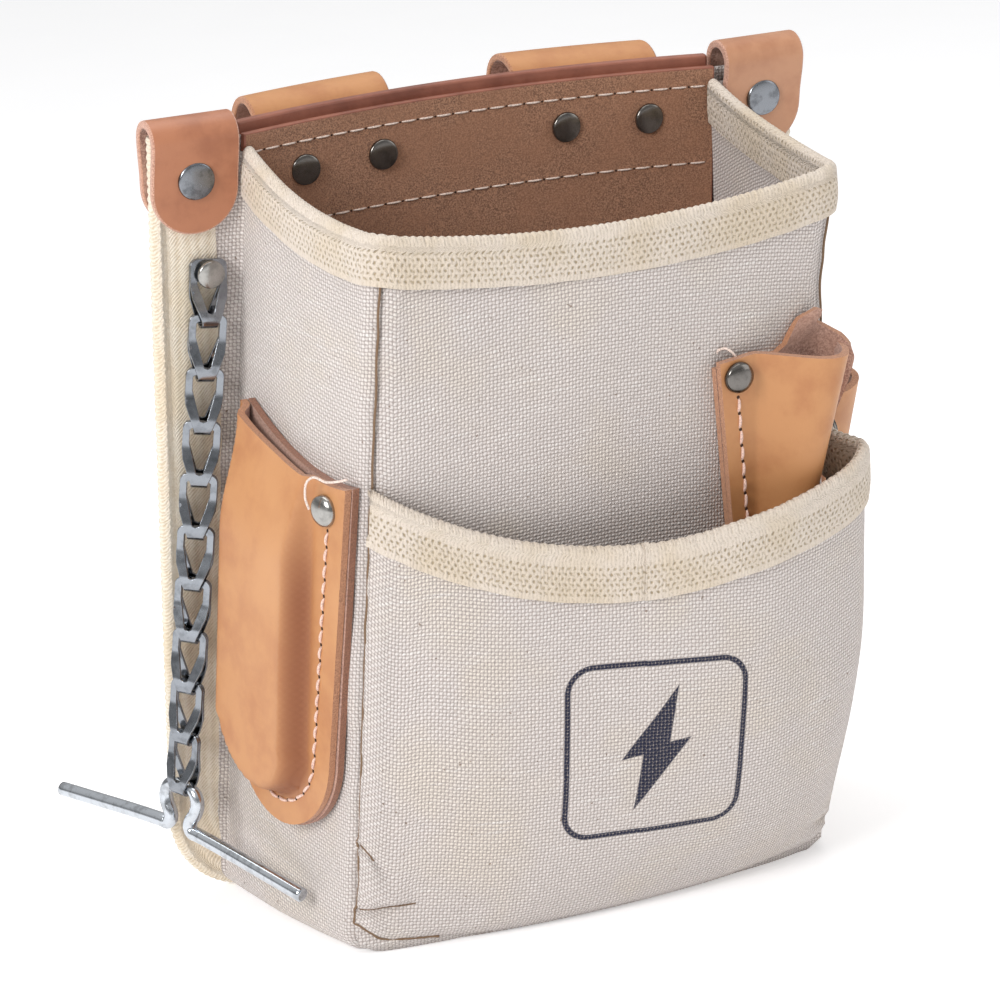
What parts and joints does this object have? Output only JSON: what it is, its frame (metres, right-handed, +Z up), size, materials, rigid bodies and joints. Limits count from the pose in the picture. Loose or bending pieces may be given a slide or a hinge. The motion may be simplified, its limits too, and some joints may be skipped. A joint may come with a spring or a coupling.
{
  "type": "electrician tool pouch",
  "caption": "Open-topped canvas and leather tool pouch with a front pocket, knife pocket, tool sleeves, belt loops and a toggle chain.",
  "frame": {"origin": "on the ground plane under the middle of the pouch's flat base, midway between its two sides and a little in front of the box's centre", "axes": "+Z up, -Y towards the front pocket, +X towards the driver sleeve when facing the front, +Y towards the wearer; the pouch stands on its base with its back leaning 7.5 degrees towards the front"},
  "size_m": [0.2406, 0.1636, 0.2506],
  "materials": {
    "back_leather": "napped suede side, speckled brown",
    "canvas": "heavy plain-weave cotton canvas, off-white",
    "cotton_tape": "knitted cotton tape, cream",
    "tan_leather": "smooth grain vegetable tan, light",
    "tab_leather": "grain leather, reddish tan",
    "rivet_nickel": "domed, dark nickel",
    "chain_zinc": "zinc plated strip",
    "toggle_wire": "bright plated wire"
  },
  "bodies": {
    "pouch": {"back_canvas_panel": "canvas", "back_leather_panel": "back_leather", "back_reinforcement": "canvas", "belt_loop_left": "tan_leather", "belt_loop_left_rivet_lower_inner": "rivet_nickel", "belt_loop_left_rivet_lower_outer": "rivet_nickel", "belt_loop_left_rivet_upper_inner": "rivet_nickel", "belt_loop_left_rivet_upper_outer": "rivet_nickel", "belt_loop_right": "tan_leather", "belt_loop_right_rivet_lower_inner": "rivet_nickel", "belt_loop_right_rivet_lower_outer": "rivet_nickel", "belt_loop_right_rivet_upper_inner": "rivet_nickel", "belt_loop_right_rivet_upper_outer": "rivet_nickel", "chain_rivet": "rivet_nickel", "corner_tab_left": "tab_leather", "corner_tab_left_rivet": "rivet_nickel", "corner_tab_right": "tab_leather", "corner_tab_right_rivet": "rivet_nickel", "driver_sleeve_backing": "tan_leather", "driver_sleeve_body": "tan_leather", "driver_sleeve_rivet": "rivet_nickel", "flange_binding": "cotton_tape", "front_panel": "canvas", "front_pocket_binding": "cotton_tape", "front_pocket_panel": "canvas", "knife_pocket_backing": "tan_leather", "knife_pocket_body": "tan_leather", "knife_pocket_rivet": "rivet_nickel", "rim_binding": "cotton_tape", "side_gusset": "canvas", "side_sleeve_body": "tan_leather", "side_sleeve_rivet": "rivet_nickel"},
    "link_01": {"chain_link_01": "chain_zinc"},
    "link_02": {"chain_link_02": "chain_zinc"},
    "link_03": {"chain_link_03": "chain_zinc"},
    "link_04": {"chain_link_04": "chain_zinc"},
    "link_05": {"chain_link_05": "chain_zinc"},
    "link_06": {"chain_link_06": "chain_zinc"},
    "link_07": {"chain_link_07": "chain_zinc"},
    "link_08": {"chain_link_08": "chain_zinc"},
    "link_09": {"chain_link_09": "chain_zinc"},
    "link_10": {"chain_link_10": "chain_zinc"},
    "toggle": {"chain_toggle": "toggle_wire"}
  },
  "joints": [
    {"name": "chain_swivel", "type": "hinge", "parent": "pouch", "child": "link_01", "pos_m": [-0.09218, 0.00879, 0.20223], "axis": [0, 0.9914, 0.1305], "range_deg": [0, 25]},
    {"name": "link_02_hinge", "type": "hinge", "parent": "link_01", "child": "link_02", "pos_m": [-0.0935, 0.00995, 0.18903], "axis": [-0.9784, 0.1714, 0.1155], "range_deg": [0, 5]},
    {"name": "link_03_hinge", "type": "hinge", "parent": "link_02", "child": "link_03", "pos_m": [-0.09514, 0.01161, 0.1727], "axis": [-0.9507, 0.284, 0.1241], "range_deg": [0, 10]},
    {"name": "link_04_hinge", "type": "hinge", "parent": "link_03", "child": "link_04", "pos_m": [-0.09678, 0.01326, 0.15636], "axis": [-0.9102, 0.3928, 0.1311], "range_deg": [0, 18]},
    {"name": "link_05_hinge", "type": "hinge", "parent": "link_04", "child": "link_05", "pos_m": [-0.09841, 0.01492, 0.14003], "axis": [-0.8574, 0.4963, 0.1363], "range_deg": [0, 18]},
    {"name": "link_06_hinge", "type": "hinge", "parent": "link_05", "child": "link_06", "pos_m": [-0.10005, 0.01657, 0.12369], "axis": [-0.793, 0.593, 0.1397], "range_deg": [0, 18]},
    {"name": "link_07_hinge", "type": "hinge", "parent": "link_06", "child": "link_07", "pos_m": [-0.10169, 0.01823, 0.10736], "axis": [-0.7178, 0.6818, 0.1411], "range_deg": [0, 18]},
    {"name": "link_08_hinge", "type": "hinge", "parent": "link_07", "child": "link_08", "pos_m": [-0.10333, 0.01989, 0.09102], "axis": [-0.633, 0.7613, 0.1407], "range_deg": [0, 18]},
    {"name": "link_09_hinge", "type": "hinge", "parent": "link_08", "child": "link_09", "pos_m": [-0.10497, 0.02155, 0.07469], "axis": [-0.5396, 0.8305, 0.1383], "range_deg": [0, 18]},
    {"name": "link_10_hinge", "type": "hinge", "parent": "link_09", "child": "link_10", "pos_m": [-0.1066, 0.0232, 0.05835], "axis": [-0.4389, 0.8885, 0.1341], "range_deg": [0, 18]},
    {"name": "toggle_hinge", "type": "hinge", "parent": "link_10", "child": "toggle", "pos_m": [-0.10824, 0.02486, 0.04202], "axis": [-0.3593, 0.9241, 0.1298], "range_deg": [0, 40]}
  ]
}
